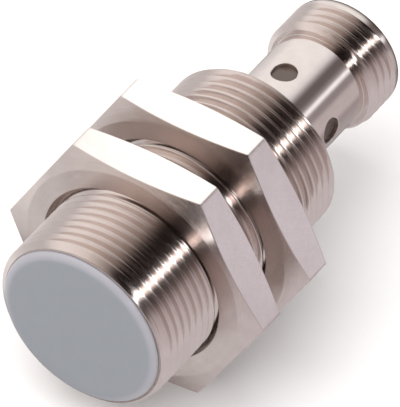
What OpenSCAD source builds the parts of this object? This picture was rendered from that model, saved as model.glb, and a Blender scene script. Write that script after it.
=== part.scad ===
// Cylindrical inductive proximity sensor with a threaded barrel, two hexagon
// nuts and a four-pin M12 plug connector. Lengths are millimetres.
//
// The axis of the sensor is +Y. Y = 0 is the sensing face, which looks towards
// -Y, and the connector is at the +Y end. +Z is up, and two flats of each nut
// face up and down. Threads are plain cylinders at their crest diameter.

/* [Barrel] */
// Diameter over the crests of the mounting thread
barrel_d = 18; // [15:0.1:22]
// Length of the threaded barrel
barrel_l = 28.4; // [23:0.1:60]
// Wall of the barrel under the crests of its thread
barrel_wall = 1.2; // [0.9:0.1:1.6]
// Chamfer at both ends of the barrel
barrel_chamfer = 0.55; // [0.2:0.05:0.8]

/* [Sensing cap] */
// How far the cap's lip stands in front of the barrel
cap_lip = 0.5; // [0.4:0.05:1.5]
// Step from the barrel's chamfered edge in to the lip
cap_setback = 0.15; // [0.05:0.05:0.3]
// Rounding of the lip's front edge
cap_round = 0.3; // [0.1:0.05:0.35]
// Thickness of the face in front of the coil
cap_face = 0.8; // [0.6:0.1:2]
// Wall of the skirt inside the barrel
cap_wall = 0.6; // [0.4:0.1:1]

/* [Coil] */
// Length of the ferrite pot core
core_l = 4.2; // [3.5:0.1:6]
// Depth of the ring-shaped window that takes the coil
core_window = 2.95; // [2.4:0.05:3]
// Diameter of the core's centre post
core_post_d = 5.9; // [4.5:0.1:6.2]
// Diameter of the hole through the centre post
core_hole_d = 3; // [2:0.1:3.2]
// Thickness of the core's outer rim
core_rim = 1.15; // [0.8:0.05:1.2]
// Thickness of the bobbin's hub and flanges
bobbin_wall = 0.35; // [0.25:0.05:0.45]
// Step from the bobbin's flange edge in to the winding
winding_inset = 0.25; // [0.1:0.05:0.4]
// Diameter of the two coil leads
coil_lead_d = 0.4; // [0.2:0.05:0.5]
// Length of each coil lead that lies on the board
coil_lead_lap = 2.4; // [1.5:0.1:2.6]

/* [Circuit board] */
// Thickness of the board
board_t = 0.8; // [0.6:0.1:1.2]
// Length of the plastic holder between core and board
holder_l = 2.5; // [2:0.1:4]
// Length of the holder's solid floor under the board's edge
holder_floor = 0.6; // [0.4:0.1:1]
// Free space from the board's long edges to the barrel
board_margin = 1.5; // [1:0.1:2]
// Gap between the wide part of the board and the collar
shoulder_gap = 0.5; // [0.3:0.1:1]
// Gap from the tongue's long edges to the bore around it
tongue_gap = 0.3; // [0.2:0.05:0.5]
// Gap between the tongue's end and the contact insert
tongue_end_gap = 0.2; // [0.1:0.05:0.5]
// Distance from the coil leads' ends to the first row of small parts
first_row_gap = 0.7; // [0.4:0.1:1]
// Gap between the two rows of small parts
row_gap = 2; // [1:0.1:2.4]
// Distance from the transistor and the diode to the wide part's rear edge
rear_part_gap = 1; // [0.5:0.1:1.2]
// Distance from the status LEDs to the tongue's edges
led_margin = 0.2; // [0.1:0.05:0.4]
// Length, width and height of the sensor chip
chip_size = [4, 5, 1.4]; // [0.5:0.1:5]
// Length, width and height of the output transistor
transistor_size = [3, 3.4, 1.4]; // [0.5:0.1:5]
// Length, width and height of the protection diode
diode_size = [2.6, 1.6, 1.1]; // [0.5:0.1:5]
// Length, width and height of a chip capacitor
capacitor_size = [1.6, 0.8, 0.8]; // [0.3:0.1:2]
// Length, width and height of a chip resistor
resistor_size = [1.2, 0.6, 0.4]; // [0.2:0.1:2]
// Length, width and height of a status LED
led_size = [1.4, 0.8, 0.7]; // [0.4:0.1:1.5]

/* [Connector] */
// Diameter over the crests of the connector thread
plug_d = 12; // [10:0.1:14.4]
// Length of the connector thread with its chamfers
plug_l = 4.9; // [4:0.1:9]
// Wall of the sleeve under the crests of the connector thread
plug_wall = 1.7; // [1.5:0.1:2]
// Chamfer at both ends of the connector thread
plug_chamfer = 0.45; // [0.2:0.05:0.6]
// Depth of the socket from its mouth to the contact insert
socket_depth = 7.4; // [6.5:0.1:8.5]
// Length of the plain neck
neck_l = 10.8; // [9.5:0.1:20]
// Wall of the neck around the socket bore
neck_wall = 0.7; // [0.5:0.05:1.2]
// Step in the sleeve's bore that stops the contact insert
stop_lip = 0.4; // [0.2:0.05:0.6]
// Length of the collar inside the barrel
collar_l = 4.3; // [3.5:0.1:6]
// Step from the barrel's rear end in to the collar
collar_recess = 0.2; // [0:0.05:0.5]
// Diameter of the window holes
window_d = 2.5; // [2:0.1:3]
// Distance from the middle of the windows to the barrel's rear end
window_y = 5.3; // [4.9:0.1:5.6]
// Angle of the first window around the axis
window_turn = 4; // [0:1:89]
// Depth of the clear plastic below the neck's surface in a window
window_recess = 0.45; // [0.2:0.05:0.6]
// Thickness of the clear light ring
ring_wall = 0.93; // [0.7:0.01:1]
// Length of the light ring in front of the windows
ring_front = 1.25; // [0.8:0.05:1.5]
// Length of the light ring behind the windows
ring_back = 0.35; // [0.2:0.05:0.5]

/* [Contacts] */
// Diameter of a contact pin
pin_d = 1; // [0.8:0.05:1.1]
// Distance from a pin's centre line to the edge of the insert
pin_edge = 1.78; // [1.7:0.01:2]
// Distance from the mouth of the socket to the tips of the pins
pin_inset = 1.3; // [0.8:0.1:2]
// Diameter of a pin's solder tail
tail_d = 0.7; // [0.5:0.05:0.7]
// Length of a pin's solder tail
tail_l = 2.2; // [1.5:0.1:2.5]
// Diameter of the short leads between tails and board
lead_d = 0.5; // [0.3:0.05:0.6]
// Distance that each lead runs back from its tail
lead_run = 3; // [2:0.1:4]
// Length, width and height of a lead's solder joint
joint_size = [1.4, 1, 0.6]; // [0.4:0.1:1.6]
// Width and height of the key rib in the socket
key_size = [1.3, 0.75]; // [0.5:0.05:1.5]
// Step from the mouth of the socket in to the key rib
key_inset = 1; // [0.5:0.1:2]

/* [Seals] */
// Depth of the groove for the collar's seal ring
collar_groove = 0.6; // [0.4:0.05:0.8]
// Depth of the groove for the insert's seal ring
insert_groove = 0.5; // [0.3:0.05:0.5]

/* [Nuts] */
// Thickness of a nut
nut_t = 4; // [3:0.1:5]
// Wall of a nut from the barrel thread to a flat
nut_wall = 3; // [2.5:0.1:5]
// Step from the flats in to the edge of the turned end faces
nut_face_step = 0.5; // [0.3:0.1:0.8]
// Depth of the chamfer at the nut's corners
nut_corner_drop = 0.65; // [0.4:0.05:1]
// Chamfer at both ends of the nut's bore
nut_countersink = 0.45; // [0.2:0.05:0.6]
// Distance from the sensing face to the front nut
front_nut_y = 8.5; // [2:0.1:9]
// Gap between the nuts
nut_gap = 3.7; // [1:0.1:4]

/* [Fits] */
// Gap around pieces that are pressed, glued or moulded together
fit_gap = 0.02; // [0.01:0.01:0.05]
// Gap around pieces that slip into each other
slip_gap = 0.1; // [0.05:0.01:0.15]
// Radial gap between a nut's bore and the barrel thread
thread_gap = 0.05; // [0.03:0.01:0.1]

/* [Hidden] */
$fn = 96;
small = 24;     // facets of small round features
medium = 48;    // facets of the window holes
past = 1;       // how far a cut runs past a face
windows = 4;

// barrel and cap
barrel_r = barrel_d / 2;
bore_r = barrel_r - barrel_wall;
barrel_end = cap_lip + barrel_l;
lip_r = barrel_r - barrel_chamfer - cap_setback;
skirt_r = bore_r - fit_gap;
skirt_bore_r = skirt_r - cap_wall;

// coil
core_y = cap_face;
core_end = core_y + core_l;
core_r = skirt_bore_r - slip_gap;
post_r = core_post_d / 2;
window_r = core_r - core_rim;
bobbin_l = core_window - slip_gap;
bobbin_y = core_y + slip_gap;
hub_bore_r = post_r + slip_gap;
hub_r = hub_bore_r + bobbin_wall;
flange_r = window_r - slip_gap;
winding_r = flange_r - winding_inset;
winding_end = bobbin_y + bobbin_l - bobbin_wall;
coil_lead_x = (hub_r + winding_r) / 2;
coil_lead_z = board_t / 2 + coil_lead_d / 2;

// board: wide behind the holder, with a tongue through the collar
board_y = core_end + holder_floor;
holder_end = core_end + holder_l;
coil_lead_end = holder_end + coil_lead_lap;
collar_end = barrel_end - collar_recess;
collar_y = collar_end - collar_l;
board_w = 2 * (bore_r - board_margin);
board_shoulder = collar_y - shoulder_gap;
first_row_y = coil_lead_end + first_row_gap;

// connector
plug_r = plug_d / 2;
socket_r = plug_r - plug_wall;
neck_r = socket_r + neck_wall;
tongue_bore_r = socket_r - stop_lip;
tongue_w = 2 * (tongue_bore_r - tongue_gap);
neck_end = barrel_end + neck_l;
mouth_y = neck_end + plug_l;
windows_y = barrel_end + window_y;
insert_head_y = windows_y + window_d / 2 + ring_back;
insert_end = mouth_y - socket_depth;
insert_y = windows_y - window_d / 2 - ring_front;
insert_r = socket_r - fit_gap;
ring_r = insert_r;
ring_bore_r = ring_r - ring_wall;
waist_r = ring_bore_r - slip_gap / 2;
board_end = insert_y - tongue_end_gap;
pin_r = pin_d / 2;
pin_offset = (insert_r - pin_edge) * cos(45);
pin_tip = mouth_y - pin_inset;
tail_y = insert_y - tail_l;
lead_z = board_t / 2 + lead_d / 2;
lead_end = tail_y - lead_run;

// seal grooves, in the middle of the collar and of the insert's head
seal_w = 2 * collar_groove;
seal_lo = collar_y + (collar_l - seal_w) / 2;
seal_hi = seal_lo + seal_w;
insert_seal_y = (insert_head_y + insert_end) / 2;

// nuts
nut_af = barrel_d + 2 * nut_wall;
nut_corner_r = nut_af / 2 / cos(30);
nut_face_r = nut_af / 2 - nut_face_step;
nut_bore_r = barrel_r + thread_gap;
rear_nut_y = front_nut_y + nut_t + nut_gap;

// Turns local +Z to the sensor's +Y, starting at y.
module along_y(y = 0) translate([0, y, 0]) rotate([-90, 0, 0]) children();

// A rod on the axis from y0 to y1.
module rod(r, y0, y1) along_y(y0) cylinder(h = y1 - y0, r = r);

// A rod parallel to the axis through [x, z].
module wire(x, z, r, y0, y1) translate([x, 0, z]) along_y(y0)
    cylinder(h = y1 - y0, r = r, $fn = small);

// A ring with square edges from y0 to y1.
module ring(r_out, r_in, y0, y1) along_y(y0) rotate_extrude()
    translate([r_in, 0]) square([r_out - r_in, y1 - y0]);

// A rubber ring of round section whose centre circle has radius r.
module seal(r, section_r, y) along_y(y) rotate_extrude()
    translate([r, 0]) circle(r = section_r, $fn = small);

// A block of size [along y, along x, height] standing on the board's top face,
// or under its bottom face when side is -1. grow widens it on every free side.
module chip(size, x, y, side = 1, grow = 0) {
    low = side > 0 ? board_t / 2 : -board_t / 2 - size[2] - grow;
    translate([x - size[1] / 2 - grow, y - grow, low])
        cube([size[1] + 2 * grow, size[0] + 2 * grow, size[2] + grow]);
}

module barrel() color("silver") along_y(cap_lip) rotate_extrude() polygon([
    [bore_r, 0], [barrel_r - barrel_chamfer, 0], [barrel_r, barrel_chamfer],
    [barrel_r, barrel_l - barrel_chamfer], [barrel_r - barrel_chamfer, barrel_l],
    [bore_r, barrel_l]
]);

module sensing_cap() color("slategray") difference() {
    along_y() rotate_extrude() {
        square([lip_r - cap_round, cap_lip]);
        translate([0, cap_round]) square([lip_r, cap_lip - cap_round]);
        intersection() {
            translate([lip_r - cap_round, cap_round]) circle(r = cap_round, $fn = small);
            square([lip_r, cap_round]);
        }
        square([skirt_r, holder_end]);
    }
    rod(skirt_bore_r, cap_face, holder_end + past);
}

module ferrite_core() color("dimgray") difference() {
    along_y(core_y) rotate_extrude() polygon([
        [core_hole_d / 2, 0], [post_r, 0], [post_r, core_window], [window_r, core_window],
        [window_r, 0], [core_r, 0], [core_r, core_l], [core_hole_d / 2, core_l]
    ]);
    coil_wires(slip_gap);
}

module coil_bobbin() color("ivory") difference() {
    along_y(bobbin_y) rotate_extrude() {
        translate([hub_bore_r, 0]) square([bobbin_wall, bobbin_l]);
        translate([hub_bore_r, 0]) square([flange_r - hub_bore_r, bobbin_wall]);
        translate([hub_bore_r, bobbin_l - bobbin_wall])
            square([flange_r - hub_bore_r, bobbin_wall]);
    }
    coil_wires(slip_gap);
}

module coil_winding() color("peru") ring(winding_r, hub_r, bobbin_y + bobbin_wall, winding_end);

// The two coil leads, each grown by the given gap all round.
module coil_wires(gap = 0) for (side = [-1, 1])
    wire(side * coil_lead_x, coil_lead_z, coil_lead_d / 2 + gap, winding_end, coil_lead_end + gap);

module coil_leads() color("peru") coil_wires();

module core_holder() color("black") difference() {
    union() {
        rod(core_r, core_end, holder_end);
        rod(core_hole_d / 2 - slip_gap / 2, core_end - core_l / 2, core_end);
    }
    board_blank(slip_gap);
    coil_wires(slip_gap);
}

// The board's outline, each side grown by the given gap.
module board_blank(gap = 0) {
    translate([-board_w / 2 - gap, board_y, -board_t / 2 - gap])
        cube([board_w + 2 * gap, board_shoulder - board_y + gap, board_t + 2 * gap]);
    translate([-tongue_w / 2 - gap, board_shoulder - past, -board_t / 2 - gap])
        cube([tongue_w + 2 * gap, board_end - board_shoulder + past, board_t + 2 * gap]);
}

module circuit_board() color("darkgreen") board_blank();

module sensor_chip(gap = 0) color("#222222")
    chip(chip_size, 0, first_row_y, 1, gap);

module output_transistor(gap = 0) color("#222222")
    chip(transistor_size, 0, board_shoulder - transistor_size[0] - rear_part_gap, 1, gap);

module protection_diode(gap = 0) color("#222222")
    chip(diode_size, 0, board_shoulder - diode_size[0] - rear_part_gap, -1, gap);

module chip_capacitors(gap = 0) color("tan") for (side = [-1, 1], row = [0, 1])
    chip(capacitor_size, side * (board_w / 2 - capacitor_size[1]),
        first_row_y + row * (capacitor_size[0] + row_gap), 1, gap);

module chip_resistors(gap = 0) color("#333333") for (side = [-1, 1], row = [0, 1])
    chip(resistor_size, side * board_w / 6,
        first_row_y + row * (resistor_size[0] + row_gap), -1, gap);

// A status LED near the edge of the tongue; side is -1 or 1 along x.
module status_led(side, gap = 0) color("gold")
    chip(led_size, side * (tongue_w / 2 - led_size[1] / 2 - led_margin),
        board_end - led_size[0] - led_margin, 1, gap);

module potting_compound() color("darkslategray") difference() {
    union() {
        rod(skirt_r, holder_end, collar_y);
        rod(tongue_bore_r - fit_gap, collar_y - past, insert_y);
    }
    board_blank(fit_gap);
    coil_wires(fit_gap);
    sensor_chip(fit_gap);
    output_transistor(fit_gap);
    protection_diode(fit_gap);
    chip_capacitors(fit_gap);
    chip_resistors(fit_gap);
    status_led(-1, fit_gap);
    status_led(1, fit_gap);
    lead_wires(fit_gap);
    for (k = [1:4]) pin_body(k, fit_gap);
}

module connector_sleeve() color("silver") difference() {
    along_y(collar_y) rotate_extrude() polygon([
        [tongue_bore_r, 0], [skirt_r, 0],
        [skirt_r, seal_lo - collar_y], [skirt_r - collar_groove, seal_lo - collar_y],
        [skirt_r - collar_groove, seal_hi - collar_y], [skirt_r, seal_hi - collar_y],
        [skirt_r, collar_l], [neck_r, collar_l],
        [neck_r, neck_end - collar_y], [plug_r - plug_chamfer, neck_end - collar_y],
        [plug_r, neck_end + plug_chamfer - collar_y],
        [plug_r, mouth_y - plug_chamfer - collar_y],
        [plug_r - plug_chamfer, mouth_y - collar_y],
        [socket_r, mouth_y - collar_y], [socket_r, insert_y - collar_y],
        [tongue_bore_r, insert_y - collar_y]
    ]);
    window_rods(window_d / 2, neck_r + past);
}

// Four rods that point outwards through the windows, up to radius reach.
module window_rods(r, reach) translate([0, windows_y, 0]) for (k = [0:windows - 1])
    rotate([0, 90 - window_turn - k * 360 / windows, 0])
        translate([0, 0, ring_bore_r + slip_gap])
            cylinder(h = reach - ring_bore_r - slip_gap, r = r, $fn = medium);

module sleeve_seal_ring() color("#202020")
    seal(skirt_r - collar_groove / 2, collar_groove / 2 - fit_gap, seal_lo + seal_w / 2);

module light_ring() color("wheat", 0.7) {
    ring(ring_r, ring_bore_r, insert_y, insert_head_y - fit_gap);
    window_rods(window_d / 2 - fit_gap, neck_r - window_recess);
}

module contact_insert() color("black") difference() {
    union() {
        rod(waist_r, insert_y, insert_end);
        rod(insert_r, insert_head_y, insert_end);
        intersection() {
            rod(insert_r, insert_end - past, mouth_y - key_inset);
            translate([-key_size[0] / 2, insert_end - past, socket_r - key_size[1]])
                cube([key_size[0], socket_depth + past - key_inset, key_size[1]]);
        }
    }
    ring(insert_r + past, insert_r - insert_groove,
        insert_seal_y - insert_groove / 2 - slip_gap, insert_seal_y + insert_groove / 2 + slip_gap);
    for (k = [1:4]) pin_body(k, fit_gap);
}

module insert_seal_ring() color("#202020")
    seal(insert_r - insert_groove / 2, insert_groove / 2 - fit_gap, insert_seal_y);

// Contact place number k, as signs along x and z.
function contact_side(k) = [k == 1 || k == 4 ? -1 : 1, k <= 2 ? 1 : -1];

// Pin number k with its solder tail, grown by the given gap.
module pin_body(k, gap = 0) {
    x = contact_side(k)[0] * pin_offset;
    z = contact_side(k)[1] * pin_offset;
    wire(x, z, tail_d / 2 + gap, tail_y - gap, insert_y + gap);
    wire(x, z, pin_r + gap, insert_y, pin_tip - pin_r / 2);
    translate([x, 0, z]) along_y(pin_tip - pin_r / 2)
        cylinder(h = pin_r / 2, r1 = pin_r + gap, r2 = pin_r / 2 + gap, $fn = small);
}

module contact_pin(k) color("gold") pin_body(k);

// The four short leads from the solder tails down to the board, each with its
// solder joint, grown by the given gap.
module lead_wires(gap = 0) for (k = [1:4]) {
    x = contact_side(k)[0] * pin_offset;
    side = contact_side(k)[1];
    drop = pin_offset - lead_z;
    run = tail_y - lead_end;
    intersection() {
        translate([x, tail_y, side * pin_offset]) rotate([90 + side * atan2(drop, run), 0, 0])
            translate([0, 0, -past]) cylinder(h = norm([drop, run]) + 2 * past,
                r = lead_d / 2 + gap, $fn = small);
        translate([x - lead_d, lead_end, -insert_r])
            cube([2 * lead_d, run + gap, 2 * insert_r]);
    }
    chip(joint_size, x, lead_end - joint_size[0] / 2, side, gap);
}

module connector_leads() color("firebrick") lead_wires();

module hex_nut(y) color("lightgray") along_y(y) difference() {
    slope = nut_corner_drop / (nut_corner_r - nut_face_r);
    rim = nut_corner_r + past;
    intersection() {
        cylinder(h = nut_t, r = nut_corner_r, $fn = 6);
        rotate_extrude() polygon([
            [0, 0], [nut_face_r, 0], [rim, (rim - nut_face_r) * slope],
            [rim, nut_t - (rim - nut_face_r) * slope], [nut_face_r, nut_t], [0, nut_t]
        ]);
    }
    translate([0, 0, -past]) cylinder(h = nut_t + 2 * past, r = nut_bore_r);
    for (end = [0, 1]) translate([0, 0, end * nut_t]) mirror([0, 0, end])
        cylinder(h = nut_countersink, r1 = nut_bore_r + nut_countersink, r2 = nut_bore_r);
}

barrel();
sensing_cap();
ferrite_core();
coil_bobbin();
coil_winding();
coil_leads();
core_holder();
circuit_board();
sensor_chip();
output_transistor();
protection_diode();
chip_capacitors();
chip_resistors();
status_led(-1);  // status_led_left
status_led(1);  // status_led_right
potting_compound();
connector_sleeve();
sleeve_seal_ring();
light_ring();
contact_insert();
insert_seal_ring();
contact_pin(1);  // contact_pin_1
contact_pin(2);  // contact_pin_2
contact_pin(3);  // contact_pin_3
contact_pin(4);  // contact_pin_4
connector_leads();
hex_nut(front_nut_y);  // front_nut
hex_nut(rear_nut_y);  // rear_nut
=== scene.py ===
import math

import bpy
import numpy as np
from bpy.props import FloatProperty, FloatVectorProperty, IntProperty, PointerProperty
from mathutils import Matrix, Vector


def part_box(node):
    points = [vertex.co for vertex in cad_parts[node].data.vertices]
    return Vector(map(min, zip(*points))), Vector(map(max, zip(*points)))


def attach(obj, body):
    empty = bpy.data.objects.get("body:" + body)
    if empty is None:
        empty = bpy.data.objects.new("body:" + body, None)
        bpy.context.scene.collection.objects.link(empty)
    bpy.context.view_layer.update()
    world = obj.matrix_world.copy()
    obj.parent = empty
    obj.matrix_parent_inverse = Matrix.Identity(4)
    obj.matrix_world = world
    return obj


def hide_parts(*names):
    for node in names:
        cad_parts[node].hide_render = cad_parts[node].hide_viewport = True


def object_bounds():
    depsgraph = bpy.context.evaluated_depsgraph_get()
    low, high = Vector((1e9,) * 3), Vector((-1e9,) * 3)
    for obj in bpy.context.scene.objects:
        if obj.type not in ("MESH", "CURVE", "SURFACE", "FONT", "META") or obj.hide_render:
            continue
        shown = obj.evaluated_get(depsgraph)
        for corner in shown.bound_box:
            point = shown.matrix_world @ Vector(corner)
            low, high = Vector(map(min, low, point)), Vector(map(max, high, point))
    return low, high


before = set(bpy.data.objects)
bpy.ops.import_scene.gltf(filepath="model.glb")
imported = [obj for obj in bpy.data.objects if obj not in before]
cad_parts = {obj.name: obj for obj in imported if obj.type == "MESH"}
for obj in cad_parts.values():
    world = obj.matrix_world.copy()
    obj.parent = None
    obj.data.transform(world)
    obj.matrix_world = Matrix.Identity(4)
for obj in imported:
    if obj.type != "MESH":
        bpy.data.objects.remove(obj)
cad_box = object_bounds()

bl_info = {
    "name": "Proximity Sensor",
    "version": (1, 0, 0),
    "blender": (4, 5, 0),
    "location": "3D View > Sidebar > Sensor",
    "description": "Builds a threaded inductive proximity sensor around its packed part",
    "category": "Mesh",
}

MM = 0.001
TURN = 2 * math.pi

# Fixed sizes of the barrel, the cap and the nuts.
RESIN_GAP = 0.02 * MM           # between the resin and the barrel's bore
CORE_GAP = 0.1 * MM             # between the ferrite core and the cap's skirt
THREAD_GAP = 0.05 * MM          # between the barrel's crests and a nut's bore
BARREL_EDGE = 0.08 * MM         # chamfer at the ends of the barrel's bore
NUT_EDGE = 0.06 * MM            # rounding of a nut's flats towards the corner cones
RIM_ROWS = 0.02 * MM            # how close the rows stand to the rim of a nut's face
FLAT_ROWS = 2                   # rows on the flats in each half of a nut

# Fixed sizes of the connector sleeve, with places measured from the sensing face.
PLUG_RADIUS = 6.0 * MM          # over the crests of the connector thread
NECK_RADIUS = 5.0 * MM
SOCKET_RADIUS = 4.3 * MM        # bore around the contact pins
TONGUE_RADIUS = 3.9 * MM        # bore before the light ring
COLLAR_END = 28.7 * MM
NECK_END = 39.7 * MM
SLEEVE_EDGE = 0.06 * MM         # rounding of the sleeve's edges
SEAL_GROOVE = 0.6 * MM          # depth of the seal ring's groove
SEAL_SPAN = (1.55 * MM, 2.75 * MM)      # the groove's two sides, from the collar's front
WINDOWS = 4
WINDOW_PLACE = 34.2 * MM
WINDOW_TURN = 4 * math.pi / 180         # angle of the first window
WINDOW_EDGE = 0.05 * MM         # chamfer around a window
WINDOW_SQUARE = np.linspace(-1.75 * MM, 1.75 * MM, 15)  # rows of the square that holds it

# Fixed sizes of the contact pins.
PIN_TAIL = 0.35 * MM            # radius of the tail that goes to the leads
PIN_TAIL_EDGE = 0.05 * MM       # chamfer at the tail's end
PIN_DOME = 0.8                  # length of the rounded tip over the pin's radius


# ---------------------------------------------------------------- sizes ----

def radius_of(node):
    """Half the width of a CAD node that is round about the sensor's axis."""
    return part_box(node)[1].x


def span_of(node):
    """Where a CAD node starts and ends along the sensor's axis."""
    low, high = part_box(node)
    return low.y, high.y


class SensorSizes(bpy.types.PropertyGroup):
    """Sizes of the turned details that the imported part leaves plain"""

    barrel_pitch: FloatProperty(
        name="Barrel pitch", description="Pitch of the mounting thread",
        default=1 * MM, min=0.5 * MM, max=2 * MM, precision=5, unit="LENGTH")
    plug_pitch: FloatProperty(
        name="Plug pitch", description="Pitch of the connector thread",
        default=1 * MM, min=0.5 * MM, max=2 * MM, precision=5, unit="LENGTH")
    barrel_chamfer: FloatProperty(
        name="Barrel chamfer", description="Chamfer at both ends of the barrel",
        default=0.45 * MM, min=0.2 * MM, max=0.8 * MM, precision=5, unit="LENGTH")
    plug_chamfer: FloatProperty(
        name="Plug chamfer", description="Chamfer at both ends of the connector thread",
        default=0.45 * MM, min=0.2 * MM, max=0.6 * MM, precision=5, unit="LENGTH")
    cap_round: FloatProperty(
        name="Cap rounding", description="How far back the sensing face's edge rolls",
        default=0.42 * MM, min=0.1 * MM, max=0.45 * MM, precision=5, unit="LENGTH")
    cap_edge: FloatProperty(
        name="Cap edge", description="Width of the rolled edge on the sensing face",
        default=0.85 * MM, min=0.3 * MM, max=1.2 * MM, precision=5, unit="LENGTH")
    nut_face: FloatProperty(
        name="Nut face", description="Step from a nut's flats in to the edge of its turned faces",
        default=0.5 * MM, min=0.3 * MM, max=0.8 * MM, precision=5, unit="LENGTH")
    nut_drop: FloatProperty(
        name="Corner drop", description="Depth of the chamfer at a nut's corners",
        default=0.65 * MM, min=0.4 * MM, max=1 * MM, precision=5, unit="LENGTH")
    nut_fillet: FloatProperty(
        name="Corner fillet", description="Rounding of the edges between a nut's flats",
        default=0.22 * MM, min=0.05 * MM, max=0.5 * MM, precision=5, unit="LENGTH")
    nut_countersink: FloatProperty(
        name="Countersink", description="Chamfer at both ends of a nut's bore",
        default=0.45 * MM, min=0.2 * MM, max=0.6 * MM, precision=5, unit="LENGTH")
    plug_band: FloatProperty(
        name="Plug band", description="Length of the smooth rolled band at the plug's mouth",
        default=0.95 * MM, min=0.5 * MM, max=1.5 * MM, precision=5, unit="LENGTH")
    window: FloatProperty(
        name="Window", description="Diameter of the light windows in the neck",
        default=2.5 * MM, min=2 * MM, max=3 * MM, precision=5, unit="LENGTH")
    columns: IntProperty(
        name="Columns", description="Faces around a turned piece",
        default=192, min=96, max=240, subtype="UNSIGNED")


class SensorFinishes(bpy.types.PropertyGroup):
    """Colours and gloss of the finishes"""

    nickel: FloatVectorProperty(
        name="Nickel", description="Colour of the nickel plating",
        default=(0.78, 0.70, 0.665), size=3, min=0, max=1, subtype="COLOR")
    nickel_shade: FloatVectorProperty(
        name="Nickel shade", description="Colour of the plating where it is a little dull",
        default=(0.70, 0.625, 0.59), size=3, min=0, max=1, subtype="COLOR")
    cap: FloatVectorProperty(
        name="Cap", description="Colour of the sensing cap",
        default=(0.243, 0.262, 0.288), size=3, min=0, max=1, subtype="COLOR")
    # Painted highlight: the paler colour of the rolled edge of the cap's face stands in for the
    # light on that edge.
    cap_rim_highlight: FloatVectorProperty(
        name="Cap rim", description="Colour of the sensing cap's worn edge",
        default=(0.325, 0.322, 0.352), size=3, min=0, max=1, subtype="COLOR")
    light_ring: FloatVectorProperty(
        name="Light ring", description="Colour of the clear plastic in the windows",
        default=(0.14, 0.098, 0.08), size=3, min=0, max=1, subtype="COLOR")
    black: FloatVectorProperty(
        name="Black plastic", description="Colour of the contact insert",
        default=(0.018, 0.018, 0.019), size=3, min=0, max=1, subtype="COLOR")
    gold: FloatVectorProperty(
        name="Gold", description="Colour of the contact pins' plating",
        default=(0.86, 0.60, 0.24), size=3, min=0, max=1, subtype="COLOR")


class SensorStage(bpy.types.PropertyGroup):
    """Floor, lights and camera"""

    floor: FloatVectorProperty(
        name="Floor", description="Colour of the floor",
        default=(0.86, 0.86, 0.86), size=3, min=0, max=1, subtype="COLOR")
    key: FloatProperty(
        name="Top softbox", description="Power of the softbox that the top flats mirror",
        default=0.0023, min=0, max=5, precision=5, unit="POWER")
    side: FloatProperty(
        name="Side softbox", description="Power of the softbox that the next flats mirror",
        default=0.0011, min=0, max=5, precision=5, unit="POWER")
    fill: FloatProperty(
        name="Fill", description="Strength of the soft light from above",
        default=3.1, min=0, max=10, subtype="FACTOR")
    sky: FloatProperty(
        name="Room", description="Brightness of the soft room",
        default=1.0, min=0, max=5, subtype="FACTOR")
    lens: FloatProperty(
        name="Lens", description="Focal length of the camera in millimetres",
        default=591.5, min=50, max=1000, subtype="DISTANCE_CAMERA")


# ------------------------------------------------------------ mesh making ----

CREST = 1 / 8           # where the rounding of the crest ends, in pitches
SLOPE = math.sqrt(3)    # fall of a flank that stands 30 degrees off the radius
ROOT = 1 / 3            # where the rounding of the root begins, in pitches
THREAD_ROWS = (0, 0.03, 0.07, CREST, 0.23, ROOT, 0.42, 0.5)
SAME_POINT = MM * 1e-4  # points that round to the same multiple of this are one


def thread_depth(place):
    """How far the thread lies under its crest, in pitches, at a place along it in pitches.

    With c as the distance to the nearest crest, the depth is the parabola
    SLOPE * c * c / (2 * CREST) up to CREST, then goes on along the flank with SLOPE.
    From ROOT on, a parabola takes over with the flank's slope and ends level at the
    middle of the root."""
    c = np.abs(place - np.round(place))
    crest = np.minimum(c, CREST)
    flank = np.clip(c, CREST, ROOT) - CREST
    t = np.clip((c - ROOT) / (0.5 - ROOT), 0, 1)
    return SLOPE * (crest * crest / (2 * CREST) + flank + (0.5 - ROOT) * (t - t * t / 2))


def thread_rows(angles, y0, y1, pitch, radius_at):
    """Rows of a right-handed thread, one pitch per turn, held between y0 and y1.

    Row k at angle a lies at y = y0 + (k - a / TURN) * pitch, so each row keeps its
    place on the thread. y falls as a turns from x to z, which is right-handed along
    Y. radius_at(y, depth) gives the radius there."""
    half = np.array(THREAD_ROWS)
    steps = np.concatenate([half, 1 - half[-2:0:-1]])
    turns = math.ceil((y1 - y0) / pitch) + 2
    k = (np.arange(turns)[:, None] + steps[None, :]).ravel()
    share = (angles - angles[0]) / TURN
    y = np.clip(y0 + (k[:, None] - share[None, :]) * pitch, y0, y1)
    depth = thread_depth((y - y0) / pitch + share[None, :]) * pitch
    return radius_at(y, depth), y, -len(steps)


def plain_rows(angles, *rows):
    """Rows (radius, y), each a number for the whole turn or one number per angle."""
    ones = np.ones(len(angles))
    return (np.array([r * ones for r, _ in rows]), np.array([y * ones for _, y in rows]), 0)


def skin(angles, blocks):
    """One closed skin from blocks of rows (radius, y, shift) around the sensor's axis.

    A point is (r cos a, y, r sin a). The last row joins the first, and the end of
    row k joins the start of row k + shift, which closes a thread on itself.
    Gives points, the grid of point numbers, and the quads' corners."""
    n, points, grid, start = len(angles), [], [], 0
    for radius, y, shift in blocks:
        rows = len(radius)
        number = start + np.arange(rows * n).reshape(rows, n)
        ends = number[np.clip(np.arange(rows) + shift, 0, rows - 1), 0]
        grid.append(np.hstack([number, ends[:, None]]))
        ring = np.stack([radius * np.cos(angles), y, radius * np.sin(angles)], -1)
        points.append(ring.reshape(-1, 3))
        start += rows * n
    grid = np.vstack(grid + [grid[0][:1]])
    quads = np.stack([grid[:-1, :-1], grid[1:, :-1], grid[1:, 1:], grid[:-1, 1:]], -1)
    return np.vstack(points), grid, quads


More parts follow.
